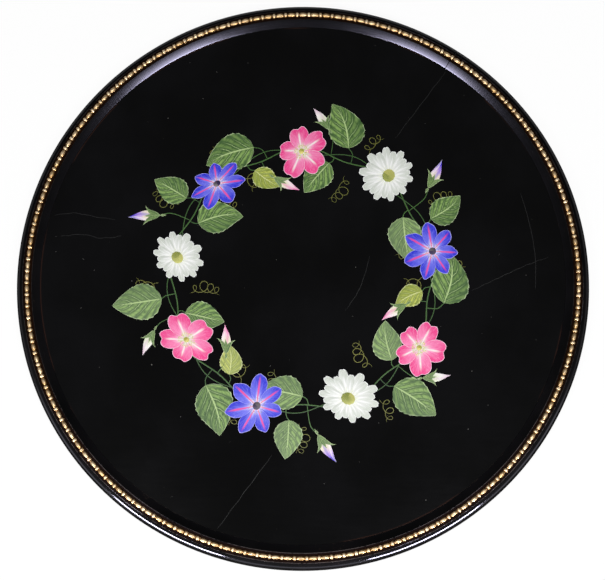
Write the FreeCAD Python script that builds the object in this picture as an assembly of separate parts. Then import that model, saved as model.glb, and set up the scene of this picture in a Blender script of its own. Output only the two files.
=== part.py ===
"""Round serving tray: a panel of edge-glued boards under a thin lacquered ground, held in the
groove of a six-piece moulded rim whose crest carries a brass bead-and-reel moulding.

Units are millimetres. +Z is up, the origin is at the centre of the plane that the tray stands on,
and angles are counted anticlockwise from +X, seen from above.
"""
import FreeCAD, Part
import math
import os

from FreeCAD import Vector

# ---- Driving dimensions -------------------------------------------------------------------
tray_radius = 300.0          # to the outermost line of the rim's nose
rim_height = 26.0            # the rim's section is a half-round nose of this thickness
segment_count = 6            # pieces of wood in the rim
first_joint_angle = 56.0     # where segment 1 begins
open_joint_gap = 0.7         # that joint has shrunk open by this much; the others are closed

groove_width = 9.0           # channel in the rim's crest for the brass moulding
groove_depth = 2.0
lip_rounding = 0.5           # worn edges on both sides of the channel

field_depth = 5.0            # from the rim's crest down to the painted field
bevel_width = 8.2            # the slope between the channel and the field
bevel_foot = 0.6             # the slope ends this far above the field
foot_rounding = 0.5          # worn edge there
ground_thickness = 1.2       # cloth, gesso and lacquer on the boards
ground_gap = 0.15            # shrinkage line round the field
panel_groove_depth = 6.0     # how far the boards reach into the rim
panel_groove_clearance = 0.3  # between the boards' edge and the bottom of that groove

board_thickness = 11.0
board_width = 95.7
board_offset = 10.3          # from the tray's centre to the nearest board joint
narrowest_board = 25.0
grain_angle = 53.3           # direction of the boards' grain

tongue_thickness = 3.0       # loose tongues between boards
tongue_width = 12.0
tongue_stop = 18.0           # the grooves end this far from the board's edge
glue_gap = 0.1

rim_tongue_thickness = 3.0   # loose tongues across the rim's butt joints
rim_tongue_width = 9.0
rim_tongue_length = 20.0

bead_pitch = 12.5            # wanted spacing of the beads; the real one divides each strip evenly
bead_length = 9.4            # each end runs a little way into the reel beside it
bead_radius = 2.15
bead_height = 3.6            # from the channel's floor to the top of a bead
reel_radius = 2.45
reel_thickness = 3.4
reel_rounding = 1.5
web_width = 3.0              # the flat strip that the beads and reels stand on
web_thickness = 1.2
strip_end_gap = 0.15         # between a strip's end, cut through a reel, and the rim joint

pins_per_strip = 4
pin_shank_radius = 0.6
pin_length = 10.0
pin_head_radius = 1.3
pin_head_height = 0.65
pin_seat_depth = 0.4         # the head is let into the bead this far
pin_clearance = 0.05

# ---- Sizes that follow from them ------------------------------------------------------------
nose_radius = rim_height / 2
bead_circle_radius = tray_radius - nose_radius
groove_floor = rim_height - groove_depth
groove_outer = bead_circle_radius + groove_width / 2
groove_inner = bead_circle_radius - groove_width / 2
field_height = rim_height - field_depth
field_radius = groove_inner - bevel_width
boards_top = field_height - ground_thickness
boards_bottom = boards_top - board_thickness
panel_groove_radius = field_radius + panel_groove_depth
panel_radius = panel_groove_radius - panel_groove_clearance
segment_angle = 360.0 / segment_count

bead_axis_height = groove_floor + bead_height - bead_radius
bead_crest = groove_floor + bead_height
strip_arc = math.radians(segment_angle) * bead_circle_radius
strip_run = strip_arc - 2 * strip_end_gap
beads_per_strip = round(strip_run / bead_pitch)
bead_step = math.degrees(strip_run / bead_circle_radius) / beads_per_strip
first_reel_angle = math.degrees(strip_end_gap / bead_circle_radius)

AXIS = Vector(0, 0, 1)
CENTRE = Vector(0, 0, 0)


# ---- Helpers --------------------------------------------------------------------------------
def export(name, shape):
    shape.exportStep(f"parts/{name}.step")


def turned(shape, degrees):
    """A copy of shape, turned about the tray's axis."""
    copy = shape.copy()
    copy.rotate(CENTRE, AXIS, degrees)
    return copy


def sector(points, start, span):
    """The solid that a closed outline of (radius, height) points sweeps round the tray's axis."""
    outline = Part.makePolygon([Vector(r, 0, z) for r, z in points + points[:1]])
    return turned(Part.Face(outline).revolve(CENTRE, AXIS, span), start)


def block(x, y, z):
    """A box between the low and high values of x, y and z."""
    size = (x[1] - x[0], y[1] - y[0], z[1] - z[0])
    return Part.makeBox(*size, Vector(x[0], y[0], z[0]))


def cylinder(radius, z_low, z_high, x=0.0, y=0.0):
    return Part.makeCylinder(radius, z_high - z_low, Vector(x, y, z_low))


def round_corners(face, corners, radius):
    """The same face in the XZ plane with the given corners rounded."""
    prism = face.extrude(Vector(0, 1, 0))
    edges = [edge for edge in prism.Edges
             if any(edge.distToShape(Part.Vertex(corner))[0] < 1e-6 for corner in corners)
             and len(edge.Vertexes) == 2
             and abs(edge.Vertexes[0].Y - edge.Vertexes[1].Y) > 0.5]
    prism = prism.makeFillet(radius, edges)
    return next(side for side in prism.Faces if all(abs(v.Y) < 1e-6 for v in side.Vertexes))


# ---- Rim ------------------------------------------------------------------------------------
def rim_section():
    """The rim's section in the XZ plane: half-round nose, channel for the moulding, bevel, and the
    groove that holds the panel."""
    outer_lip = Vector(groove_outer, 0, nose_radius + math.sqrt(nose_radius ** 2 - (groove_width / 2) ** 2))
    inner_lip = Vector(groove_inner, 0, rim_height)
    bevel_end = Vector(field_radius, 0, field_height + bevel_foot)
    nose_foot = Vector(bead_circle_radius, 0, 0)
    corners = [
        outer_lip,
        Vector(groove_outer, 0, groove_floor),
        Vector(groove_inner, 0, groove_floor),
        inner_lip,
        bevel_end,
        Vector(field_radius, 0, boards_top),
        Vector(panel_groove_radius, 0, boards_top),
        Vector(panel_groove_radius, 0, boards_bottom),
        Vector(field_radius, 0, boards_bottom),
        Vector(field_radius, 0, 0),
        nose_foot,
    ]
    edges = [Part.makeLine(a, b) for a, b in zip(corners, corners[1:])]
    nose_side = Vector(tray_radius, 0, nose_radius)
    edges.append(Part.Arc(nose_foot, nose_side, outer_lip).toShape())
    section = Part.Face(Part.Wire(edges))
    lip_angle = math.pi / 2 - math.asin(groove_width / 2 / nose_radius)
    room = (outer_lip.z - groove_floor) * math.tan(lip_angle / 2)
    section = round_corners(section, [outer_lip, inner_lip], min(lip_rounding, 0.9 * room))
    return round_corners(section, [bevel_end], min(foot_rounding, 0.9 * bevel_foot))


def rim_tongue(slack=0.0):
    """A loose tongue across the joint at angle 0. Slack widens it into the slot that takes it."""
    middle_radius = (panel_groove_radius + tray_radius) / 2
    half_width = rim_tongue_width / 2 + slack
    half_length = rim_tongue_length / 2 + slack
    half_thickness = rim_tongue_thickness / 2
    return block((middle_radius - half_width, middle_radius + half_width),
                 (-half_length, half_length),
                 (nose_radius - half_thickness, nose_radius + half_thickness))


def rim_segment():
    """One closed segment, from angle 0 to segment_angle, with its tongue slots and pin holes."""
    body = rim_section().revolve(CENTRE, AXIS, segment_angle)
    slot = rim_tongue(glue_gap)
    holes = [turned(cylinder(pin_shank_radius + pin_clearance, pin_tip, rim_height,
                             bead_circle_radius), angle) for angle in pin_angles]
    return body.cut([slot, turned(slot, segment_angle)] + holes)


def make_rim():
    segment = rim_segment()
    tongue = rim_tongue()
    half_gap = open_joint_gap / 2
    gap_wedge = block((0, tray_radius + 1), (-half_gap, half_gap), (-1, rim_height + 1))
    for number in range(segment_count):
        start = first_joint_angle + number * segment_angle
        piece = turned(segment, start)
        if number in (0, segment_count - 1):
            piece = piece.cut(turned(gap_wedge, first_joint_angle))
        export(f"rim_segment_{number + 1}", piece)
        export(f"rim_tongue_{number + 1}", turned(tongue, start))


# ---- Brass moulding -------------------------------------------------------------------------
pin_tip = bead_crest - pin_seat_depth - pin_length


def pinned_beads():
    """The numbers of the beads that a pin goes through, spread evenly along a strip."""
    return [int((k + 0.5) * beads_per_strip / pins_per_strip) for k in range(pins_per_strip)]


pin_angles = [first_reel_angle + (n + 0.5) * bead_step for n in pinned_beads()]


def bead():
    """An oval bead at angle 0, lying along Y: half an ellipsoid on a straight-sided oval skirt."""
    half = bead_length / 2
    oval = Part.Ellipse(Vector(0, half, 0), Vector(bead_radius, 0, 0), CENTRE)
    skirt = Part.Face(Part.Wire(oval.toShape())).extrude(Vector(0, 0, bead_axis_height - groove_floor))
    skirt.translate(Vector(bead_circle_radius, 0, groove_floor))
    side = Part.Arc(oval, 0, math.pi).toShape()
    long_axis = Part.makeLine(Vector(0, half, 0), Vector(0, -half, 0))
    dome = Part.Face(Part.Wire([side, long_axis])).revolve(CENTRE, Vector(0, 1, 0), -180)
    dome.translate(Vector(bead_circle_radius, 0, bead_axis_height))
    return skirt.fuse(dome)


def reel():
    """A short round-edged disc at angle 0, its axis along Y and its foot cut flat."""
    disc = Part.makeCylinder(reel_radius, reel_thickness, CENTRE, Vector(0, 1, 0))
    disc = disc.makeFillet(reel_rounding, [edge for edge in disc.Edges
                                           if edge.Curve.TypeId == "Part::GeomCircle"])
    disc.translate(Vector(bead_circle_radius, -reel_thickness / 2, bead_axis_height))
    below = block((bead_circle_radius - reel_radius, bead_circle_radius + reel_radius),
                  (-reel_thickness, reel_thickness), (groove_floor - reel_radius, groove_floor))
    return disc.cut(below)


def half_reel(y):
    """The part of a reel at angle 0 that lies between the low and high values of y."""
    return reel().common(block((bead_circle_radius - reel_radius, bead_circle_radius + reel_radius), y,
                               (groove_floor, bead_axis_height + reel_radius)))


def moulding_cell():
    """A bead at angle 0 and the half reels at its two ends, on their length of web."""
    half_web = web_width / 2
    half_step = bead_step / 2
    web = sector([(bead_circle_radius - half_web, groove_floor),
                  (bead_circle_radius + half_web, groove_floor),
                  (bead_circle_radius + half_web, groove_floor + web_thickness),
                  (bead_circle_radius - half_web, groove_floor + web_thickness)],
                 -half_step, bead_step)
    return web.multiFuse([bead(),
                          turned(half_reel((0, reel_thickness)), -half_step),
                          turned(half_reel((-reel_thickness, 0)), half_step)])


def moulding_strip():
    """One length of bead-and-reel moulding for the rim segment that begins at angle 0. It is cut
    through the middle of a reel at both ends."""
    cell = moulding_cell()
    cells = [turned(cell, first_reel_angle + (k + 0.5) * bead_step) for k in range(beads_per_strip)]
    strip = cells[0].multiFuse(cells[1:])
    cuts = []
    for angle in pin_angles:
        cuts.append(turned(cylinder(pin_shank_radius + pin_clearance, groove_floor - 1,
                                    bead_crest + 1, bead_circle_radius), angle))
        cuts.append(turned(cylinder(pin_head_radius + pin_clearance, bead_crest - pin_seat_depth,
                                    bead_crest + 1, bead_circle_radius), angle))
    return strip.cut(cuts)


def moulding_pin():
    """A round-headed brass pin at angle 0, its head let into the top of a bead."""
    seat = bead_crest - pin_seat_depth
    shank = cylinder(pin_shank_radius, pin_tip, seat, bead_circle_radius)
    dome_radius = (pin_head_radius ** 2 + pin_head_height ** 2) / (2 * pin_head_height)
    dome = Part.makeSphere(dome_radius, Vector(bead_circle_radius, 0,
                                               seat + pin_head_height - dome_radius))
    head = dome.common(cylinder(pin_head_radius, seat, seat + pin_head_height,
                                bead_circle_radius))
    return shank.fuse(head).removeSplitter()


def make_moulding():
    strip = moulding_strip()
    pin = moulding_pin()
    pins = []
    for number in range(segment_count):
        start = first_joint_angle + number * segment_angle
        export(f"bead_strip_{number + 1}", turned(strip, start))
        pins += [turned(pin, start + angle) for angle in pin_angles]
    export("bead_pins", Part.makeCompound(pins))


# ---- Panel ----------------------------------------------------------------------------------
# Boards and tongues are made with the grain along X, then turned to grain_angle.
def board_joints():
    """The distances of the board joints from the tray's centre, across the grain."""
    reach = panel_radius - narrowest_board
    lowest = math.ceil((-reach - board_offset) / board_width)
    highest = math.floor((reach - board_offset) / board_width)
    return [board_offset + k * board_width for k in range(lowest, highest + 1)]


def board_edges():
    return [-panel_radius] + board_joints() + [panel_radius]


def board_tongue(joint, slack=0.0):
    """The loose tongue in one board joint. Slack deepens it into the grooves that take it."""
    half_chord = math.sqrt(panel_radius ** 2 - (abs(joint) + tongue_width / 2) ** 2)
    half_length = half_chord - tongue_stop + slack
    half_width = tongue_width / 2 + slack
    middle = (boards_top + boards_bottom) / 2
    return block((-half_length, half_length),
                 (joint - half_width, joint + half_width),
                 (middle - tongue_thickness / 2, middle + tongue_thickness / 2))


def make_panel():
    joints = board_joints()
    edges = board_edges()
    grooves = [board_tongue(joint, glue_gap) for joint in joints]
    disc = cylinder(panel_radius, boards_bottom, boards_top)
    for number, (low, high) in enumerate(zip(edges, edges[1:]), start=1):
        strip = block((-panel_radius, panel_radius), (low, high), (boards_bottom, boards_top))
        board = disc.common(strip).cut(grooves)
        export(f"panel_board_{number}", turned(board, grain_angle))
    for number, joint in enumerate(joints, start=1):
        export(f"board_tongue_{number}", turned(board_tongue(joint), grain_angle))


def make_ground():
    """The lacquered ground that covers the boards inside the bevel."""
    export("lacquer_ground", cylinder(field_radius - ground_gap, boards_top, field_height))


os.makedirs("parts", exist_ok=True)
make_rim()
make_moulding()
make_panel()
make_ground()
print("beads per strip", beads_per_strip, "pitch",
      round(math.radians(bead_step) * bead_circle_radius, 3))
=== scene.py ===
import math
import random

import bpy
from mathutils import Matrix, Vector


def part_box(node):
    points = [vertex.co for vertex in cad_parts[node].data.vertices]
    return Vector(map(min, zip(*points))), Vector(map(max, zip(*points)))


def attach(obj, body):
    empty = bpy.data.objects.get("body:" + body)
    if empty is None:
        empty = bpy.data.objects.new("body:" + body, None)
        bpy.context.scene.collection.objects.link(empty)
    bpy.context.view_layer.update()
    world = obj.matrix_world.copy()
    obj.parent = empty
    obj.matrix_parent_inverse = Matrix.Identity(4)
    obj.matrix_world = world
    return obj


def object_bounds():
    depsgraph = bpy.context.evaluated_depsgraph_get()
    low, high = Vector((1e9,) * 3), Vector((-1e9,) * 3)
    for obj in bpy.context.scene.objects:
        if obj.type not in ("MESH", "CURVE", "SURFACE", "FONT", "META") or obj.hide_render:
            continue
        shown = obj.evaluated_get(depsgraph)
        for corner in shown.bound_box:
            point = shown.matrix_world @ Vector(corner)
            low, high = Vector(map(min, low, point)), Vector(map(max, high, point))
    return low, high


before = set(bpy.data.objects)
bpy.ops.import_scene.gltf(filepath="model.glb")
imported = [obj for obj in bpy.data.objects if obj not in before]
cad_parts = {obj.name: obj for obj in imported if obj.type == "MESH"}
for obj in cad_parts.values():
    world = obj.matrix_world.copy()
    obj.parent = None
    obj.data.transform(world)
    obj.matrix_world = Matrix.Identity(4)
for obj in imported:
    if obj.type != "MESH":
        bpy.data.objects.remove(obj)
cad_low, cad_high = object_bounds()

# ---- Sizes, taken from the frame or in millimetres times MM ----------------------------------
MM = 0.001
FIELD_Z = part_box("lacquer_ground")[1].z
FIELD_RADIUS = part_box("lacquer_ground")[1].x
RIM_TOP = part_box("rim_segment_1")[1].z
BEAD_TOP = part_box("bead_strip_1")[1].z
GROOVE_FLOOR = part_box("bead_strip_1")[0].z
TRAY_RADIUS = cad_high.x
NOSE_RADIUS = RIM_TOP / 2                # the rim's nose is half round
BEAD_CIRCLE = TRAY_RADIUS - NOSE_RADIUS
LIP = 4.5 * MM                           # from the bead circle to each edge of the channel
BEAD_COUNT = 144
GRAIN = math.radians(53.3)               # the boards' grain, from +X
BOARD_WIDTH = 95.7 * MM
FIRST_JOINT = 10.3 * MM                  # from the tray's axis to the nearest board joint

RING_RADIUS = 137 * MM                   # the garland's stem
BLOOM_COUNT = 9
FIRST_BLOOM = math.radians(90)
GAP = math.tau / BLOOM_COUNT             # from each bloom to the next, round the ring

rng = random.Random(11)


def paint(code):
    """A linear colour from its usual six hexadecimal digits."""
    channels = [int(code[k:k + 2], 16) / 255 for k in (0, 2, 4)]
    linear = [c / 12.92 if c <= 0.04045 else ((c + 0.055) / 1.055) ** 2.4 for c in channels]
    return (*linear, 1.0)


# ---- Material building -----------------------------------------------------------------------
class Shader:
    """A new material and short ways to add nodes to it."""

    def __init__(self, name):
        self.material = bpy.data.materials.new(name)
        self.material.use_nodes = True
        self.tree = self.material.node_tree
        self.surface = self.tree.nodes["Principled BSDF"]

    def wire(self, value, socket):
        """Links a socket to another one, or sets it to a plain value."""
        if isinstance(value, bpy.types.NodeSocket):
            self.tree.links.new(value, socket)
        else:
            socket.default_value = value

    def set(self, **values):
        """Sets the surface's inputs by name, and gives back the material."""
        for name, value in values.items():
            self.wire(value, self.surface.inputs[name.replace("_", " ")])
        return self.material

    def add(self, kind, inputs=(), output=0, **options):
        """A new node with its inputs filled in order. Gives back one of its outputs."""
        node = self.tree.nodes.new("ShaderNode" + kind)
        for name, value in options.items():
            setattr(node, name, value)
        for place, value in enumerate(inputs):
            if value is not None:
                self.wire(value, node.inputs[place])
        return node.outputs[output]

    def math(self, operation, *values):
        return self.add("Math", values, operation=operation)

    def plus(self, a, b):
        return self.math("ADD", a, b)

    def minus(self, a, b):
        return self.math("SUBTRACT", a, b)

    def times(self, a, b):
        return self.math("MULTIPLY", a, b)

    def absolute(self, a):
        return self.math("ABSOLUTE", a)

    def fade(self, value, start, end):
        """0 up to start, then smoothly to 1 at end. Start may be the larger of the two."""
        return self.add("MapRange", (value, start, end, 0.0, 1.0), interpolation_type="SMOOTHSTEP")

    def mix(self, factor, a, b):
        node = self.tree.nodes.new("ShaderNodeMix")
        node.data_type = "RGBA"
        for place, value in ((0, factor), (6, a), (7, b)):
            self.wire(value, node.inputs[place])
        return node.outputs[2]

    def noise(self, vector, scale, detail=4.0, roughness=0.55):
        return self.add("TexNoise", (vector, None, scale, detail, roughness))

    def fact(self, name):
        """One of the values that the painted meshes carry at their points."""
        return self.add("Attribute", output=2, attribute_name=name)

    def vector(self, x, y, z):
        return self.add("CombineXYZ", (x, y, z))

    def place(self):
        """The point's place in the tray's frame, whole and as x, y and z."""
        whole = self.add("TexCoord", output=3)
        parts = self.tree.nodes.new("ShaderNodeSeparateXYZ")
        self.wire(whole, parts.inputs[0])
        return whole, *parts.outputs

    def polar(self, x, y):
        """Distance from the tray's axis and angle round it."""
        squares = self.plus(self.times(x, x), self.times(y, y))
        return self.math("SQRT", squares), self.math("ARCTAN2", y, x)

    def bump(self, height, distance, strength):
        node = self.tree.nodes.new("ShaderNodeBump")
        self.wire(strength, node.inputs["Strength"])
        self.wire(distance, node.inputs["Distance"])
        self.wire(height, node.inputs["Height"])
        return node.outputs[0]


# ---- Materials of the tray -------------------------------------------------------------------
def field_lacquer():
    """Old black lacquer: glossy, faintly mottled, with a little orange peel and fine rubbing,
    dusty in patches and worn brown where it meets the bevel."""
    s = Shader("field_lacquer")
    place, x, y, _ = s.place()
    radius, _ = s.polar(x, y)
    cloud = s.noise(place, 9.0, 5.0)
    rub = s.noise(s.vector(s.times(x, 30.0), s.times(y, 260.0), 0.0), 1.0, 3.0)
    grain = s.noise(place, 900.0, 2.0)
    colour = s.mix(s.fade(cloud, 0.35, 0.7), paint("090909"), paint("0E0E0F"))
    dusty = s.times(s.fade(grain, 0.66, 0.8), s.fade(cloud, 0.45, 0.75))
    colour = s.mix(s.times(dusty, 0.35), colour, paint("3A3836"))
    worn = s.times(s.fade(radius, FIELD_RADIUS - 1.6 * MM, FIELD_RADIUS), s.fade(cloud, 0.5, 0.6))
    colour = s.mix(s.times(worn, 0.6), colour, paint("3B241C"))
    rough = s.plus(0.075, s.times(0.1, s.times(cloud, rub)))
    skin = s.plus(s.noise(place, 210.0, 2.0), s.times(0.25, rub))
    return s.set(Base_Color=colour, Roughness=rough, Normal=s.bump(skin, 0.03 * MM, 0.35),
                 Specular_IOR_Level=0.4)


def rim_lacquer():
    """The same lacquer on the turned rim, painted dark brown in the channel under the beads: partly
    worn dirt, partly painted shade beside the beads. The channel's lips are painted pale grey,
    partly wear and partly a painted highlight that is stronger along the near side. The bevel is
    glossy at its foot and duller towards the channel. The nose is glossy along the near side and
    dulled by hands at the sides and the back."""
    s = Shader("rim_lacquer")
    place, x, y, z = s.place()
    radius, angle = s.polar(x, y)
    round_about = s.vector(s.times(angle, 14.0), s.times(radius, 2600.0), s.times(z, 900.0))
    turning = s.noise(round_about, 1.0, 3.0)
    across = s.vector(s.times(angle, 150.0), s.times(radius, 40.0), z)
    rubs = s.noise(across, 1.0, 4.0, 0.7)
    cloud = s.noise(place, 14.0, 5.0)
    flecks = s.noise(place, 420.0, 3.0)
    colour = s.mix(s.fade(cloud, 0.35, 0.7), paint("080808"), paint("0F0E0F"))
    from_beads = s.absolute(s.minus(radius, BEAD_CIRCLE))
    # Dark brown painted in the channel under and beside the beads: partly dirt, partly painted shade.
    channel_dirt_and_shade = s.times(s.fade(from_beads, LIP, LIP - 0.8 * MM),
                      s.fade(z, RIM_TOP - 4 * MM, RIM_TOP - 3 * MM))
    colour = s.mix(s.times(channel_dirt_and_shade, 0.8), colour, paint("1E0F06"))
    from_lip = s.absolute(s.minus(from_beads, LIP + 0.3 * MM))
    lip = s.times(s.fade(from_lip, 0.6 * MM, 0.1 * MM), s.fade(z, RIM_TOP - 2 * MM, RIM_TOP))
    near = s.fade(s.plus(y, s.times(cloud, 60 * MM)), -70 * MM, -130 * MM)
    # Pale grey painted along the channel's lips: partly worn lacquer, partly a painted highlight,
    # stronger along the near side.
    lip_wear_and_highlight = s.times(lip, s.fade(s.plus(flecks, cloud), 0.8, 1.1))
    lip_wear_and_highlight = s.times(lip_wear_and_highlight, s.plus(0.2, s.times(near, 0.4)))
    colour = s.mix(lip_wear_and_highlight, colour, paint("6E6462"))
    chips = s.times(s.fade(s.plus(flecks, s.times(cloud, 0.5)), 1.0, 1.03),
                    s.fade(z, RIM_TOP - 6 * MM, RIM_TOP - 3 * MM))
    colour = s.mix(s.times(chips, 0.3), colour, paint("5A4A3E"))
    inside = s.fade(radius, BEAD_CIRCLE - LIP + 0.5 * MM, BEAD_CIRCLE - LIP)
    foot = s.times(s.fade(z, FIELD_Z + 0.4 * MM, FIELD_Z), s.fade(cloud, 0.5, 0.66))
    colour = s.mix(s.times(s.times(foot, inside), 0.25), colour, paint("3A241C"))
    from_top = s.add("MapRange", (radius, BEAD_CIRCLE - LIP, FIELD_RADIUS, 0.0, 1.0))
    shine = s.math("POWER", from_top, 1.6)
    scuffs = s.times(s.times(rubs, turning), s.plus(0.3, s.times(inside, 0.7)))
    rough = s.plus(0.08, s.times(0.2, scuffs))
    rough = s.plus(rough, s.times(s.minus(1.0, from_top), s.times(inside, 0.1)))
    skin = s.plus(s.times(turning, 0.4), s.times(rubs, 0.6))
    polish = s.fade(z, NOSE_RADIUS * 1.62, NOSE_RADIUS * 1.66)
    nose_gloss = s.times(polish, s.plus(0.04, s.times(near, 0.41)))
    bevel_gloss = s.plus(0.04, s.times(shine, 0.37))
    foot_line = s.fade(from_top, 0.84, 0.94)
    bevel_gloss = s.plus(bevel_gloss, s.times(foot_line, 0.25))
    gloss = s.plus(s.times(inside, bevel_gloss), s.times(s.minus(1.0, inside), nose_gloss))
    relief = s.plus(0.03, s.times(inside, 0.47))
    return s.set(Base_Color=colour, Roughness=rough, Normal=s.bump(skin, 0.08 * MM, relief),
                 Specular_Tint=(0.76, 0.73, 1.0, 1.0), Specular_IOR_Level=gloss)


def gilt_brass(name, bright, dark):
    """Pale gilt brass with painted light: near-black brown painted low down as painted shade in the
    hollows, with some patina; darker down the flanks as painted shade; cream painted on top as a
    painted highlight over high points rubbed bright.
    """
    s = Shader(name)
    place, x, y, z = s.place()
    _, angle = s.polar(x, y)
    beads = s.times(angle, BEAD_COUNT / math.tau)
    uneven = s.noise(s.vector(beads, 0.0, 3.0), 0.8, 2.0)
    patina = s.noise(place, 300.0, 4.0, 0.6)
    # Near-black brown painted low down between the beads: painted shade in the hollows, with some
    # patina.
    height = s.fade(z, GROOVE_FLOOR + 0.9 * MM, BEAD_TOP - 1.5 * MM)
    colour = s.mix(s.fade(uneven, 0.35, 0.65), bright, dark)
    colour = s.mix(s.times(s.fade(patina, 0.45, 0.7), 0.5), colour, paint("7E5628"))
    colour = s.mix(height, paint("2C1607"), colour)
    # Darker brown painted down the flanks of the beads: painted shade.
    flank_shade = s.fade(z, BEAD_TOP - 0.7 * MM, BEAD_TOP - 1.6 * MM)
    colour = s.mix(s.times(flank_shade, 0.45), colour, paint("70481C"))
    # Cream painted on the tops of beads and reels: a painted highlight over high points rubbed
    # bright.
    high = s.times(s.fade(z, BEAD_TOP - 0.8 * MM, BEAD_TOP - 0.1 * MM), s.fade(patina, 0.2, 0.5))
    colour = s.mix(s.times(high, 0.45), colour, paint("EADEC4"))
    rough = s.plus(0.3, s.times(patina, 0.2))
    metal = s.minus(0.75, s.times(high, 0.4))
    return s.set(Base_Color=colour, Metallic=metal, Roughness=rough,
                 Normal=s.bump(patina, 0.08 * MM, 0.5))


def wood(name, light, dark, grain_angle):
    """Stained wood with growth rings drawn out along its grain."""
    s = Shader(name)
    _, x, y, _ = s.place()
    along = s.plus(s.times(x, math.cos(grain_angle)), s.times(y, math.sin(grain_angle)))
    across = s.minus(s.times(y, math.cos(grain_angle)), s.times(x, math.sin(grain_angle)))
    board = s.math("FLOOR", s.math("DIVIDE", s.minus(across, FIRST_JOINT), BOARD_WIDTH))
    drift = s.noise(s.vector(s.times(along, 3.0), s.times(across, 8.0), board), 1.0)
    rings = s.math("SINE", s.plus(s.times(across, 900.0), s.times(drift, 60.0)))
    pores = s.noise(s.vector(s.times(along, 60.0), s.times(across, 2400.0), board), 1.0, 3.0)
    tone = s.plus(s.times(rings, 0.22), pores)
    colour = s.mix(s.fade(tone, 0.25, 0.85), dark, light)
    colour = s.mix(s.fade(pores, 0.62, 0.75), colour, dark)
    return s.set(Base_Color=colour, Roughness=s.plus(0.5, s.times(pores, 0.3)),
                 Normal=s.bump(tone, 0.15 * MM, 0.6))


# ---- Materials of the painting ---------------------------------------------------------------
def petal_paint(name, throat, light, deep, ray, edge, ray_width, ray_reach, folds):
    """Opaque colour laid in strokes that run out from the throat. A ray of another colour lies
    along the middle, soft folds fall beside it, and the edge is picked out in a pale line."""
    s = Shader(name)
    along, across = s.fact("along"), s.fact("across")
    rim, tint = s.fact("rim"), s.fact("tint")
    lane = s.vector(s.times(across, 7.0), s.times(along, 1.3), s.times(tint, 37.0))
    streak = s.noise(lane, 1.5, 5.0, 0.6)
    fine = s.noise(lane, 5.0, 3.0, 0.65)
    wander = s.times(s.minus(streak, 0.5), 0.8)
    reach = s.plus(along, wander)
    colour = s.mix(s.fade(reach, 0.3, 0.9), light, deep)
    spread = s.absolute(across)
    hollow = s.times(s.fade(s.absolute(s.minus(spread, 0.5)), 0.42, 0.05), s.fade(along, 0.2, 0.65))
    colour = s.mix(s.times(hollow, folds), colour, deep)
    lit = s.times(s.fade(s.plus(across, wander), 0.1, 0.7), s.fade(along, 0.35, 0.75))
    colour = s.mix(s.times(lit, 0.4), colour, light)
    under = s.times(s.fade(across, -0.45, -1.0), 0.6)
    colour = s.mix(under, colour, deep)
    colour = s.mix(s.times(s.fade(fine, 0.48, 0.68), 0.5), colour, light)
    colour = s.mix(s.times(s.fade(fine, 0.5, 0.3), 0.35), colour, deep)
    colour = s.mix(s.fade(reach, 0.46, 0.14), colour, throat)
    narrow = s.times(ray_width, s.minus(1.2, along))
    middle = s.absolute(s.plus(across, s.times(wander, 0.12)))
    ray_mask = s.fade(s.math("DIVIDE", middle, narrow), 1.25, 0.2)
    ray_mask = s.times(ray_mask, s.fade(along, ray_reach, ray_reach - 0.35))
    colour = s.mix(s.times(ray_mask, 0.9), colour, ray)
    picked = s.times(s.fade(rim, 0.95 * MM, 0.2 * MM), s.fade(streak, 0.25, 0.5))
    colour = s.mix(s.times(picked, 0.85), colour, edge)
    return s.set(Base_Color=colour, Roughness=s.plus(0.34, s.times(fine, 0.2)),
                 Normal=s.bump(fine, 0.06 * MM, 0.5))


def bud_paint(name, base, middle, tip):
    """A furled bud: pale at the base, coloured towards the point, in two twisting strokes."""
    s = Shader(name)
    along, across, rim, tint = s.fact("along"), s.fact("across"), s.fact("rim"), s.fact("tint")
    lane = s.vector(s.times(across, 2.0), s.times(along, 2.5), s.times(tint, 31.0))
    dab = s.noise(lane, 2.5, 4.0, 0.6)
    reach = s.plus(along, s.times(s.minus(dab, 0.5), 0.35))
    colour = s.mix(s.fade(reach, 0.42, 0.68), base, middle)
    colour = s.mix(s.fade(reach, 0.62, 0.9), colour, tip)
    twist = s.math("SINE", s.plus(s.times(across, 3.2), s.times(along, 5.0)))
    colour = s.mix(s.times(s.fade(twist, 0.2, 1.0), 0.45), colour, tip)
    colour = s.mix(s.times(s.fade(twist, -0.5, -1.0), 0.6), colour, paint("F8F2EE"))
    picked = s.times(s.fade(rim, 0.5 * MM, 0.1 * MM), s.fade(across, -0.2, 0.4))
    colour = s.mix(s.times(picked, 0.7), colour, paint("FAF5F6"))
    return s.set(Base_Color=colour, Roughness=s.plus(0.36, s.times(dab, 0.18)),
                 Normal=s.bump(dab, 0.06 * MM, 0.4))


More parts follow.
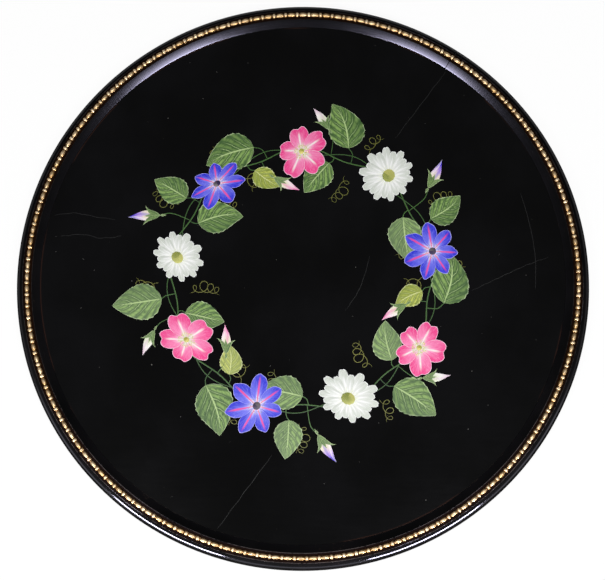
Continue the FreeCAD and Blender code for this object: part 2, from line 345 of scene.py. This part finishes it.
def leaf_paint(name, light, dark, vein, edge, veins):
    """Two-tone green with a pale midrib and side veins, quilted between them, edge picked out."""
    s = Shader(name)
    along, across = s.fact("along"), s.fact("across")
    rim, tint = s.fact("rim"), s.fact("tint")
    spread = s.absolute(across)
    lane = s.vector(s.times(across, 3.0), s.times(along, 4.0), s.times(tint, 23.0))
    dab = s.noise(lane, 2.2, 4.0, 0.6)
    order = s.minus(s.times(along, veins), s.times(spread, 2.1))
    order = s.plus(order, s.times(s.minus(dab, 0.5), 0.35))
    between = s.math("FRACT", s.plus(order, s.times(tint, 5.0)))
    quilt = s.times(s.fade(between, 0.08, 0.55), s.fade(between, 1.0, 0.6))
    quilt = s.times(quilt, s.fade(dab, 0.3, 0.55))
    colour = s.mix(quilt, dark, light)
    half = s.times(s.fade(across, 0.04, -0.04), 0.45)
    colour = s.mix(half, colour, dark)
    deep = s.times(s.fade(spread, 0.35, 0.0), 0.35)
    colour = s.mix(deep, colour, dark)
    tone = s.times(s.fade(tint, 0.4, 1.0), 0.12)
    colour = s.mix(tone, colour, edge)
    side = s.times(s.fade(s.absolute(s.minus(between, 0.05)), 0.08, 0.015), s.fade(spread, 0.95, 0.3))
    colour = s.mix(s.times(side, 0.7), colour, vein)
    rib = s.times(s.fade(spread, 0.065, 0.015), s.fade(along, 0.98, 0.6))
    colour = s.mix(s.times(rib, 0.85), colour, vein)
    picked = s.times(s.fade(rim, 0.9 * MM, 0.2 * MM), s.fade(dab, 0.35, 0.55))
    colour = s.mix(s.times(picked, 0.6), colour, edge)
    return s.set(Base_Color=colour, Roughness=s.plus(0.36, s.times(dab, 0.18)),
                 Normal=s.bump(quilt, 0.08 * MM, 0.4))


def line_paint(name, light, dark, lit=0.5):
    """A brush line: lighter along one side, its colour running thin and thick along it."""
    s = Shader(name)
    across, tint = s.fact("across"), s.fact("tint")
    place = s.place()[0]
    load = s.noise(place, 120.0, 3.0)
    colour = s.mix(s.times(s.fade(across, -0.6, 0.7), lit), dark, light)
    colour = s.mix(s.times(s.fade(load, 0.45, 0.7), 0.6), colour, dark)
    colour = s.mix(s.times(tint, 0.4), colour, light)
    return s.set(Base_Color=colour, Roughness=s.plus(0.35, s.times(load, 0.2)),
                 Normal=s.bump(load, 0.04 * MM, 0.4))


def crack_line():
    """Where the lacquer has parted: a dull line, nearly black, that comes and goes."""
    s = Shader("crack_line")
    place = s.place()[0]
    gone = s.noise(place, 60.0, 4.0)
    colour = s.mix(s.fade(gone, 0.4, 0.62), paint("131312"), paint("0C0C0C"))
    return s.set(Base_Color=colour, Roughness=s.plus(0.5, s.times(gone, 0.3)),
                 Normal=s.bump(gone, 0.02 * MM, 0.5))


# ---- Painted meshes --------------------------------------------------------------------------
class Brushwork:
    """Strokes gathered into one mesh. A stroke is a grid of points, each given as (place, along,
    across, rim): how far along and across the stroke it lies, and its distance from the outline."""

    FACTS = ("along", "across", "rim", "tint")
    MARGIN = 0.03                        # kept free at each side of a stroke's cell of the bake map

    def __init__(self):
        self.points, self.faces, self.facts, self.cells = [], [], [], []
        self.count = 0

    def stroke(self, grid, move, tint=None, height=0.0):
        """Adds a stroke at a height above the field. Its tint is drawn if none is given."""
        tint = rng.random() if tint is None else tint
        first = len(self.points)
        rows, cols = len(grid), len(grid[0])
        for i, row in enumerate(grid):
            for j, (place, along, across, rim) in enumerate(row):
                x, y, z = move @ Vector(place)
                self.points.append((x, y, FIELD_Z + height + z))
                self.facts.append((along, across, rim, tint))
                self.cells.append((self.count, i / (rows - 1), j / (cols - 1)))
        for i in range(rows - 1):
            for j in range(cols - 1):
                a = first + i * cols + j
                self.faces.append((a, a + cols, a + cols + 1, a + 1))
        self.count += 1

    def finish(self, name, material):
        """Makes the mesh, with the facts at its points and a cell of the bake map per stroke."""
        mesh = bpy.data.meshes.new(name)
        mesh.from_pydata(self.points, [], self.faces)
        for k, fact in enumerate(self.FACTS):
            layer = mesh.attributes.new(fact, "FLOAT", "POINT")
            layer.data.foreach_set("value", [values[k] for values in self.facts])
        side = math.ceil(math.sqrt(self.count))
        used = 1 - 2 * self.MARGIN
        flat = mesh.uv_layers.new(name="OFBake")
        for loop in mesh.loops:
            cell, u, v = self.cells[loop.vertex_index]
            flat.data[loop.index].uv = ((cell % side + self.MARGIN + used * u) / side,
                                        (cell // side + self.MARGIN + used * v) / side)
        mesh.polygons.foreach_set("use_smooth", [True] * len(mesh.polygons))
        mesh.update()
        piece = bpy.data.objects.new(name, mesh)
        bpy.context.collection.objects.link(piece)
        mesh.materials.append(material)
        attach(piece, "root")
        return piece


def spin(angle):
    return Matrix.Rotation(angle, 4, "Z")


def at(x, y, angle):
    """Moves a stroke drawn along +X from the origin to a place on the field."""
    return Matrix.Translation((x, y, 0)) @ spin(angle)


def polar_point(radius, angle):
    return radius * math.cos(angle), radius * math.sin(angle)


def fan(length, spread, fullness, notch, phase, ruffle=0.0, tilt=0.04 * MM, rows=10, cols=22):
    """A petal that opens from its base like a fan, with an optional notch and a ruffled edge."""
    grid = []
    for i in range(rows + 1):
        t = i / rows
        row = []
        for j in range(cols + 1):
            s = 2 * j / cols - 1
            reach = length * math.cos(s * math.pi / 2) ** fullness if abs(s) < 1 else length * 0.04
            reach *= 1 - notch * math.exp(-(s / 0.16) ** 2)
            reach *= 1 + ruffle * math.sin(9 * s + phase) * (1 - s * s)
            turn = s * spread * (0.55 + 0.45 * t)
            place = (t * reach * math.cos(turn), t * reach * math.sin(turn),
                     0.1 * MM * math.sin(math.pi * t) * (1 - s * s) + tilt * s * t)
            rim = min((1 - t) * reach, (1 - abs(s)) * t * reach * spread)
            row.append((place, t, s, rim))
        grid.append(row)
    return grid


def blade(length, width, outline, rows, cols=8, teeth=0, bite=0.0, sweep=0.0):
    """A leaf or sepal: outline(t) is its share of the half width at t along. Sweep bends it."""
    grid = []
    for i in range(rows + 1):
        t = (1 - math.cos(math.pi * i / rows)) / 2 if not teeth else i / rows
        saw = 1 + bite * (1 - (t * teeth) % 1.0) * (1 - t) if teeth else 1.0
        half = max(width / 2 * outline(t), 0.05 * MM)
        row = []
        for j in range(cols + 1):
            s = 2 * j / cols - 1
            edge = s * half * (saw if abs(s) > 0.99 else 1.0)
            lean = sweep * t * t
            place = (t * length * math.cos(lean) - edge * math.sin(lean),
                     t * length * math.sin(lean) + edge * math.cos(lean),
                     0.06 * MM * (1 - s * s) * math.sin(math.pi * t))
            row.append((place, t, s, (1 - abs(s)) * half))
        grid.append(row)
    return grid


def smooth_path(points, steps=10):
    """A smooth curve through points, by Catmull and Rom's rule."""
    ends = [points[0], *points, points[-1]]
    path = []
    for a, b, c, d in zip(ends, ends[1:], ends[2:], ends[3:]):
        for k in range(steps):
            t = k / steps
            path.append(tuple(0.5 * (2 * q + (r - p) * t + (2 * p - 5 * q + 4 * r - o) * t * t
                                     + (3 * q - p - 3 * r + o) * t ** 3)
                              for p, q, r, o in zip(a, b, c, d)))
    return path + [tuple(points[-1])]


def line(path, width, taper=0.6):
    """A brush line along a path of (x, y), widest in the middle, as a stroke in the tray's frame."""
    grid = []
    last = len(path) - 1
    for i, (x, y) in enumerate(path):
        before, after = path[max(i - 1, 0)], path[min(i + 1, last)]
        heading = math.atan2(after[1] - before[1], after[0] - before[0])
        t = i / last
        half = width / 2 * (1 - taper * abs(2 * t - 1) ** 3)
        side = (-math.sin(heading), math.cos(heading))
        grid.append([((x + side[0] * half * s, y + side[1] * half * s, 0.12 * half * (1 - s * s)),
                      t, s, (1 - abs(s)) * half) for s in (-1, 0, 1)])
    return grid


def dome(radius, height, lobes=12, rings=3):
    """A low round dab of paint."""
    grid = []
    for i in range(rings + 1):
        t = i / rings
        row = []
        for j in range(lobes + 1):
            turn = math.tau * j / lobes
            place = (radius * t * math.cos(turn), radius * t * math.sin(turn), height * (1 - t * t))
            row.append((place, t, 2 * j / lobes - 1, (1 - t) * radius))
        grid.append(row)
    return grid


# ---- The garland -----------------------------------------------------------------------------
LAYER = {                                # each kind of stroke's height above the field
    "dust": 0.01 * MM,
    "crack": 0.012 * MM,
    "line": 0.03 * MM,
    "leaf": 0.08 * MM,
    "bud": 0.16 * MM,
    "petal": 0.22 * MM,
    "eye": 0.36 * MM,
}


# Outlines for blade(): the share of the half width at t along, 0 at both ends.
def leaf_outline(t):
    return math.sin(math.pi * t ** 0.72) ** 0.85 if 0 < t < 1 else 0.0


def spindle(t):
    return math.sin(math.pi * t ** 0.8) ** 1.2 * (1.05 - 0.25 * t) if 0 < t < 1 else 0.0


def bud_outline(t):
    return math.sin(math.pi * t ** 0.7) ** 1.1 if 0 < t < 1 else 0.0


def facing(x, y, lean, squash):
    """The place of a bloom that faces away along lean, so that it looks narrower that way."""
    narrow = Matrix.Diagonal((squash, 1, 1, 1))
    return Matrix.Translation((x, y, 0)) @ spin(lean) @ narrow


def petal_ring(petals, move, count, reach, turn, lift, **shape):
    """A ring of petals. Those towards the lean are longer than those away from it."""
    for k in range(count):
        angle = turn + k * math.tau / count
        length = reach * (1 + 0.1 * math.cos(angle)) * rng.uniform(0.97, 1.03)
        grid = fan(length, phase=rng.random() * 6, **shape)
        petals.stroke(grid, move @ spin(angle), height=LAYER["petal"] + lift)


def rose(number, move, size, material, eye_material):
    """Five broad notched petals, and stamens with a dab at each tip."""
    petals = Brushwork()
    petal_ring(petals, move, count=5, reach=size / 2, turn=rng.random() * 6, lift=0.0,
               spread=math.radians(47), fullness=0.42, notch=0.1, ruffle=0.02)
    petals.finish(f"rose_petals_{number}", material)
    eye = Brushwork()
    stamens = 26
    for k in range(stamens):
        angle = k * 2.4
        reach = size * (0.085 + 0.055 * rng.random())
        tip = polar_point(reach, angle)
        eye.stroke(line([(0, 0), tip], 0.3 * MM), move, 0.3, LAYER["eye"])
        eye.stroke(dome(0.62 * MM, 0.12 * MM), move @ at(*tip, 0), 0.9, LAYER["eye"] + 0.03 * MM)
    eye.stroke(dome(size * 0.05, 0.3 * MM), move, 0.1, LAYER["eye"])
    eye.finish(f"rose_stamens_{number}", eye_material)


def anemone(number, move, size, material, eye_material):
    """Seven softly pointed petals, and a dark eye with pale dots round it."""
    petals = Brushwork()
    petal_ring(petals, move, count=7, reach=size / 2, turn=rng.random() * 6, lift=0.0,
               spread=math.radians(34), fullness=0.5, notch=-0.05, ruffle=0.015)
    petals.finish(f"anemone_petals_{number}", material)
    eye = Brushwork()
    dots = 30
    for k in range(dots):
        spot = polar_point(size * (0.1 + 0.02 * (k % 3)), k * math.tau / dots)
        eye.stroke(dome(0.5 * MM, 0.1 * MM), move @ at(*spot, 0), 0.95, LAYER["eye"])
    eye.stroke(dome(size * 0.07, 0.4 * MM), move, 0.0, LAYER["eye"])
    eye.finish(f"anemone_eye_{number}", eye_material)


def daisy(number, move, size, material, eye_material):
    """Two rings of ten narrow petals, and a domed eye of small seeds."""
    petals = Brushwork()
    turn = rng.random() * 6
    count = 10
    for ring, (reach, lift) in enumerate(((1.0, 0.0), (0.86, 0.07 * MM))):
        petal_ring(petals, move, count, reach=size / 2 * reach,
                   turn=turn + ring * math.pi / count, lift=lift, spread=math.radians(17),
                   fullness=0.44, notch=0.04, tilt=0.03 * MM, rows=8, cols=14)
    petals.finish(f"daisy_petals_{number}", material)
    eye = Brushwork()
    seeds = 70
    for k in range(seeds):
        spot = polar_point(size * 0.105 * math.sqrt(k / seeds), k * math.radians(137.5))
        eye.stroke(dome(0.55 * MM, 0.15 * MM, 8, 2), move @ at(*spot, 0), 0.2 + 0.8 * k / seeds,
                   LAYER["eye"] + 0.45 * MM * (1 - k / seeds))
    eye.stroke(dome(size * 0.115, 0.5 * MM, 18, 4), move, 0.1, LAYER["eye"] - 0.04 * MM)
    eye.finish(f"daisy_eye_{number}", eye_material)


def bud(number, x, y, heading, size, material, sepal_material):
    """A furled bud with three sepals over it and a stub of stalk behind."""
    body = Brushwork()
    body.stroke(blade(size, size * 0.34, spindle, sweep=0.06, rows=20),
                at(x, y, heading), height=LAYER["bud"])
    body.finish(f"bud_{number}", material)
    sepals = Brushwork()
    for lean, reach, turn in ((0.35, 0.62, 0.2), (-0.4, 0.56, -0.2), (0.06, 0.5, 0.0)):
        sepals.stroke(blade(size * reach, size * 0.15, bud_outline, sweep=lean, rows=14, cols=6),
                      at(x, y, heading + turn), height=LAYER["bud"] + 0.07 * MM)
    sepals.stroke(blade(size * 0.2, size * 0.08, bud_outline, rows=8, cols=6),
                  at(x, y, heading + math.pi), height=LAYER["bud"] + 0.05 * MM)
    sepals.finish(f"bud_sepals_{number}", sepal_material)


def curl(x, y, heading, length, loops, size):
    """A tendril: it sets off along its heading, then winds in loops that grow smaller."""
    path = []
    steps = 26 * loops
    for k in range(steps + 1):
        t = k / steps
        open_up = min(1.0, t * 3)
        turn = loops * math.tau * t ** 1.15
        r = size * open_up * (1 - 0.6 * t)
        along = length * t + r * math.sin(turn)
        across = r * (1 - math.cos(turn)) + 0.12 * length * math.sin(2.2 * t)
        path.append((x + along * math.cos(heading) - across * math.sin(heading),
                     y + along * math.sin(heading) + across * math.cos(heading)))
    return path


def ring_radius(angle, strand=0):
    """The two strands of stem wave in and out round the ring, and cross as they go."""
    wave = math.sin(BLOOM_COUNT * angle) if strand == 0 else -math.sin(BLOOM_COUNT * angle + 0.7)
    return RING_RADIUS + 4.5 * MM * wave


def make_garland():
    """Nine blooms on a ring of twined stems, with leaves, buds and tendrils between them."""
    pinks = petal_paint("petal_pink", throat=paint("DCE2C4"), light=paint("FBA6CE"),
                        deep=paint("E93A86"), ray=paint("F6EEE6"), edge=paint("FCE4EE"),
                        ray_width=0.2, ray_reach=0.95, folds=0.5)
    blues = petal_paint("petal_blue", throat=paint("EBDDEC"), light=paint("8D8FF6"),
                        deep=paint("2028CC"), ray=paint("F0458F"), edge=paint("C3BEFB"),
                        ray_width=0.24, ray_reach=1.0, folds=0.5)
    whites = petal_paint("petal_white", throat=paint("CDD6A4"), light=paint("FBFAF8"),
                         deep=paint("C6CCC0"), ray=paint("FBFBFA"), edge=paint("FFFFFF"),
                         ray_width=0.12, ray_reach=0.9, folds=0.55)
    stamens = line_paint("stamens", paint("F3E08A"), paint("A8A648"))
    dark_eye = line_paint("anemone_eye", paint("EFE6C4"), paint("2B1D45"), 0.15)
    daisy_eye = line_paint("daisy_eye", paint("F0E88A"), paint("6C7A26"))
    greens = leaf_paint("leaf_green", light=paint("87A85A"), dark=paint("39592A"),
                        vein=paint("B9D28E"), edge=paint("CFE0B2"), veins=5.5)
    young = leaf_paint("leaf_young", light=paint("BEC65C"), dark=paint("7C8B34"),
                       vein=paint("DFE39C"), edge=paint("E9ECBC"), veins=5.0)
    sepal = leaf_paint("sepal_green", light=paint("7FA050"), dark=paint("30512A"),
                       vein=paint("B4CC88"), edge=paint("C9DBA6"), veins=3.0)
    bud_pink = bud_paint("bud_pink", paint("E9E3C8"), paint("F4CFDC"), paint("EA6FAE"))
    bud_violet = bud_paint("bud_violet", paint("EADFC6"), paint("C9A6E8"), paint("4A35CE"))
    bud_white = bud_paint("bud_white", paint("DDE3C4"), paint("F1ECE8"), paint("D8B9CC"))
    stem = line_paint("stem_green", paint("56803A"), paint("1D3C1A"))
    olive = line_paint("tendril_olive", paint("8E8A3C"), paint("555A22"))

    kinds = ((rose, pinks, stamens), (anemone, blues, dark_eye), (daisy, whites, daisy_eye))
    for k in range(BLOOM_COUNT):
        angle = FIRST_BLOOM + k * GAP
        make, petals, eye = kinds[k % len(kinds)]
        x, y = polar_point(RING_RADIUS + rng.uniform(-6, 6) * MM, angle + rng.uniform(-0.03, 0.03))
        move = facing(x, y, rng.uniform(0, math.tau), rng.uniform(0.78, 0.97))
        make(k + 1, move, rng.uniform(57, 66) * MM, petals, eye)

    stems = Brushwork()
    steps = 360
    for strand in (0, 1):
        turns = [math.tau * n / steps for n in range(steps + 1)]
        path = [polar_point(ring_radius(angle, strand), angle) for angle in turns]
        stems.stroke(line(path, (1.25 - 0.35 * strand) * MM, 0.0), Matrix(), 0.6 - 0.4 * strand,
                     LAYER["line"] + 0.02 * MM * strand)
    tendrils = Brushwork()

    def twig(angle, end_radius, end_angle, width=0.9):
        """A stalk off the ring. Gives back its end and its heading there."""
        start_radius = ring_radius(angle)
        start = polar_point(start_radius, angle)
        end = polar_point(end_radius, end_angle)
        bend = polar_point((start_radius + 2 * end_radius) / 3, angle + 0.25 * (end_angle - angle))
        stems.stroke(line(smooth_path([start, bend, end]), width * MM, 0.3), Matrix(),
                     rng.random(), LAYER["line"] + 0.04 * MM)
        return end, math.atan2(end[1] - bend[1], end[0] - bend[0])

    def tendril(radius, angle, heading, length, loops, size):
        path = curl(*polar_point(radius * MM, angle), heading, length * MM, loops, size * MM)
        tendrils.stroke(line(path, 0.6 * MM), Matrix(), rng.random(), LAYER["line"])

    leaf_count = 0

    def leaf(angle, end_radius, end_angle, length, lean, material):
        nonlocal leaf_count
        (x, y), heading = twig(angle, end_radius, end_angle)
        leaf_count += 1
        shape = Brushwork()
        shape.stroke(blade(length * MM, length * 0.7 * MM, leaf_outline, teeth=9, bite=0.13,
                           sweep=rng.uniform(-0.3, 0.3), rows=36, cols=12),
                     at(x, y, heading + lean), height=LAYER["leaf"] + 0.01 * MM * (leaf_count % 4))
        shape.finish(f"leaf_{leaf_count}", material)

    for k in range(BLOOM_COUNT):
        middle = FIRST_BLOOM + (k + 0.5) * GAP
        jitter = rng.uniform(-0.03, 0.03)
        if k % 3 == 0:
            leaf(middle - 0.07, 150 * MM, middle - 0.02 + jitter, 54, 0.5, greens)
            leaf(middle + 0.1, 126 * MM, middle + 0.06, 32, -0.5, young)
            end, heading = twig(middle - 0.02, 112 * MM, middle - 0.08)
            bud(k + 1, *end, heading + 0.1, 31 * MM, bud_pink, sepal)
            tendril(147, middle + 0.16, middle + 0.6, 27, 3, 8)
            tendril(128, middle + 0.18, middle + 3.3, 22, 2, 7)
        elif k % 3 == 1:
            leaf(middle + 0.05, 124 * MM, middle + 0.02 + jitter, 48, 0.35, greens)
            leaf(middle - 0.12, 149 * MM, middle - 0.09, 40, -0.55, greens)
            end, heading = twig(middle + 0.04, 164 * MM, middle + 0.1)
            bud(k + 1, *end, heading - 0.15, 34 * MM, bud_violet, sepal)
            tendril(122, middle - 0.16, middle + 3.4, 26, 3, 7.5)
            tendril(152, middle - 0.02, middle - 0.2, 30, 4, 7.5)
        else:
            leaf(middle - 0.05, 148 * MM, middle + jitter, 52, -0.45, greens)
            leaf(middle + 0.09, 127 * MM, middle + 0.12, 42, 0.4, greens)
            end, heading = twig(middle + 0.12, 163 * MM, middle + 0.17, 0.8)
            bud(k + 1, *end, heading + 0.2, 29 * MM, bud_white, sepal)
            tendril(118, middle - 0.04, middle + 2.8, 30, 4, 8)
            tendril(150, middle - 0.14, middle - 0.5, 24, 3, 7)
    stems.finish("garland_stems", stem)
    tendrils.finish("garland_tendrils", olive)


# ---- Age ---------------------------------------------------------------------------------------
HAIRLINE = 0.42 * MM                     # the width of a line over a board joint
CRACK = 0.36 * MM                        # and of any other


def make_cracks():
    """Hairlines over two board joints, and a few wandering cracks in the lacquer."""
    cracks = Brushwork()
    along = Vector((math.cos(GRAIN), math.sin(GRAIN)))
    across = Vector((-math.sin(GRAIN), math.cos(GRAIN)))
    over_joints = ((FIRST_JOINT, 0.180, 0.272), (FIRST_JOINT - BOARD_WIDTH, -0.166, -0.258))
    steps = 30
    for offset, start, end in over_joints:
        path = []
        for k in range(steps + 1):
            run = start + (end - start) * k / steps
            spot = across * (offset + 0.25 * MM * math.sin(run * 260)) + along * run
            path.append(tuple(spot))
        cracks.stroke(line(path, HAIRLINE), Matrix(), 0.5, LAYER["crack"])
    wandering = (                        # in millimetres from the tray's axis
        ((231, 90), (239, 58), (243, 22), (243, -12)),
        ((256, 21), (232, 12), (203, -2), (176, -14)),
        ((70, 23), (66, 2), (57, -16), (45, -35)),
        ((-261, 68), (-240, 70), (-218, 66), (-197, 63)),
        ((-255, 45), (-232, 47), (-211, 43), (-191, 45)),
    )
    for points in wandering:
        path = smooth_path([(x * MM + rng.uniform(-1, 1) * MM, y * MM) for x, y in points], steps=14)
        path = [(x, y + 0.35 * MM * math.sin(x * 420 + y * 300)) for x, y in path]
        cracks.stroke(line(path, CRACK), Matrix(), 0.5, LAYER["crack"])
    cracks.finish("lacquer_cracks", crack_line())


def make_dust():
    """Pale specks on the field, most of them far smaller than a bead."""
    specks = Brushwork()
    count = 90
    for _ in range(count):
        radius = FIELD_RADIUS * 0.97 * math.sqrt(rng.random())
        x, y = polar_point(radius, rng.uniform(0, math.tau))
        size = rng.uniform(0.12, 0.34) * MM * (2.0 if rng.random() < 0.08 else 1.0)
        specks.stroke(dome(size, size * 0.3, 6, 1), at(x, y, rng.uniform(0, 3)),
                      rng.random(), LAYER["dust"])
    specks.finish("dust_specks", line_paint("dust", paint("8A8780"), paint("454340")))


# ---- The tray's own pieces ---------------------------------------------------------------------
def dress_tray():
    """Each CAD node keeps its shape and gets the material of its kind."""
    brass = gilt_brass("bead_brass", paint("D0B48A"), paint("B5925E"))
    looks = {
        "rim_segment": rim_lacquer(),
        "lacquer_ground": field_lacquer(),
        "bead_strip": brass,
        "bead_pins": gilt_brass("pin_brass", paint("E6C998"), paint("C9A46C")),
        "panel_board": wood("board_wood", paint("4A3524"), paint("231811"), GRAIN),
        "board_tongue": wood("tongue_wood", paint("B98F5C"), paint("8A6236"), GRAIN),
        "rim_tongue": wood("rim_tongue_wood", paint("B98F5C"), paint("8A6236"), 0.0),
    }
    for name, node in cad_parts.items():
        look = next(material for start, material in looks.items() if name.startswith(start))
        if not node.material_slots:
            node.data.materials.append(look)
        for held in node.material_slots:
            held.material = look


# ---- Floor, light and camera -------------------------------------------------------------------
FLOOR_HALF = 20.0                        # wide enough to fill the low views
FLOOR_GAP = 0.1 * MM                     # keeps it from lying in the plane of the tray's foot
FLOOR_WHITE = 0.95                       # the share of what is seen that is plain white


def make_floor():
    """White paper that stays near white where the tray's shadow falls on it."""
    s = Shader("floor_paper")
    fibre = s.noise(s.place()[0], 60.0, 3.0)
    s.set(Base_Color=s.mix(fibre, paint("FBFBFB"), paint("FEFEFE")), Roughness=0.9,
          Specular_IOR_Level=0.0)
    path = s.tree.nodes.new("ShaderNodeLightPath").outputs
    seen = s.plus(path["Is Camera Ray"], s.plus(path["Is Glossy Ray"], path["Is Transmission Ray"]))
    glow = s.add("Emission", (paint("FFFFFF"), 1.0))
    blend = s.add("MixShader", (s.times(seen, FLOOR_WHITE), s.surface.outputs[0], glow))
    s.tree.links.new(blend, s.tree.nodes["Material Output"].inputs[0])
    mesh = bpy.data.meshes.new("floor")
    corners = [(x * FLOOR_HALF, y * FLOOR_HALF, 0) for x, y in ((-1, -1), (1, -1), (1, 1), (-1, 1))]
    mesh.from_pydata(corners, [], [(0, 1, 2, 3)])
    mesh.materials.append(s.material)
    floor = bpy.data.objects.new("floor", mesh)
    floor.location.z = -FLOOR_GAP
    bpy.context.collection.objects.link(floor)


ROOM_HIGH = (0.035, 0.035, 0.037, 1)     # the world's colour above the band, and low down
ROOM_LOW = (0.08, 0.08, 0.083, 1)
BAND_TOP, BAND_BOTTOM = 0.12, 0.02       # how high the band is, as the sine of the angle


def make_world():
    """A dark room, a little less dark low down all round."""
    world = bpy.data.worlds.new("studio")
    world.use_nodes = True
    bpy.context.scene.world = world
    tree = world.node_tree
    background = tree.nodes["Background"]
    coordinates = tree.nodes.new("ShaderNodeTexCoord")
    parts = tree.nodes.new("ShaderNodeSeparateXYZ")
    band = tree.nodes.new("ShaderNodeMapRange")
    band.interpolation_type = "SMOOTHSTEP"
    blend = tree.nodes.new("ShaderNodeMix")
    blend.data_type = "RGBA"
    for socket, value in ((band.inputs[1], BAND_TOP), (band.inputs[2], BAND_BOTTOM),
                          (blend.inputs[6], ROOM_HIGH), (blend.inputs[7], ROOM_LOW)):
        socket.default_value = value
    for source, target in ((coordinates.outputs["Generated"], parts.inputs[0]),
                           (parts.outputs[2], band.inputs[0]),
                           (band.outputs[0], blend.inputs[0]),
                           (blend.outputs[2], background.inputs[0])):
        tree.links.new(source, target)


LAMP_COLOUR = (0.98, 0.98, 1.0)


def softbox(name, azimuth, elevation, distance, width, height, radiance):
    """An area lamp that faces the tray from the given direction."""
    lamp = bpy.data.lights.new(name, "AREA")
    lamp.shape = "RECTANGLE"
    lamp.size, lamp.size_y = width, height
    lamp.energy = radiance * math.pi * width * height
    lamp.color = LAMP_COLOUR
    holder = bpy.data.objects.new(name, lamp)
    azimuth, elevation = math.radians(azimuth), math.radians(elevation)
    holder.location = (distance * math.cos(elevation) * math.cos(azimuth),
                       distance * math.cos(elevation) * math.sin(azimuth),
                       distance * math.sin(elevation))
    holder.rotation_euler = (-holder.location).to_track_quat("-Z", "Y").to_euler()
    bpy.context.collection.objects.link(holder)


def make_lights():
    """Two softboxes towards the viewer, and two low strips that glance off the rim's nose."""
    for side, azimuth in (("left", -133), ("right", -51)):
        softbox(f"softbox_{side}", azimuth, elevation=61, distance=1.6,
                width=0.34, height=0.48, radiance=27.0)
    for side, azimuth in (("left", -122), ("right", -62)):
        softbox(f"strip_{side}", azimuth, elevation=2.5, distance=1.3,
                width=0.62, height=0.13, radiance=110.0)


CAMERA_TILT = math.radians(10.3)         # from straight overhead
CAMERA_TWIST = math.radians(5)           # from -Y towards +X
CAMERA_DISTANCE = 1.372
CAMERA_AIM = (0.6 * MM, -13.8 * MM, 0)   # from the middle of the rim's crest
LENS = 78.45                             # millimetres, for a sensor SENSOR wide
SENSOR = 36


def make_camera():
    """Almost overhead, a little towards the viewer, with the tray's +Y up the picture."""
    centre = Vector((0, 0, RIM_TOP))
    towards = Vector((math.sin(CAMERA_TILT) * math.sin(CAMERA_TWIST),
                      -math.sin(CAMERA_TILT) * math.cos(CAMERA_TWIST),
                      math.cos(CAMERA_TILT)))
    eye = centre + CAMERA_DISTANCE * towards
    aim = centre + Vector(CAMERA_AIM)
    back = (eye - aim).normalized()
    right = Vector((0, 1, 0)).cross(back).normalized()
    up = back.cross(right)
    camera = bpy.data.objects.new("camera", bpy.data.cameras.new("camera"))
    camera.data.lens = LENS
    camera.data.sensor_width = SENSOR
    camera.matrix_world = Matrix((right, up, back)).transposed().to_4x4()
    camera.location = eye
    bpy.context.collection.objects.link(camera)
    bpy.context.scene.camera = camera


bpy.context.scene.view_settings.view_transform = "Standard"
dress_tray()
make_garland()
make_cracks()
make_dust()
make_floor()
make_world()
make_lights()
make_camera()
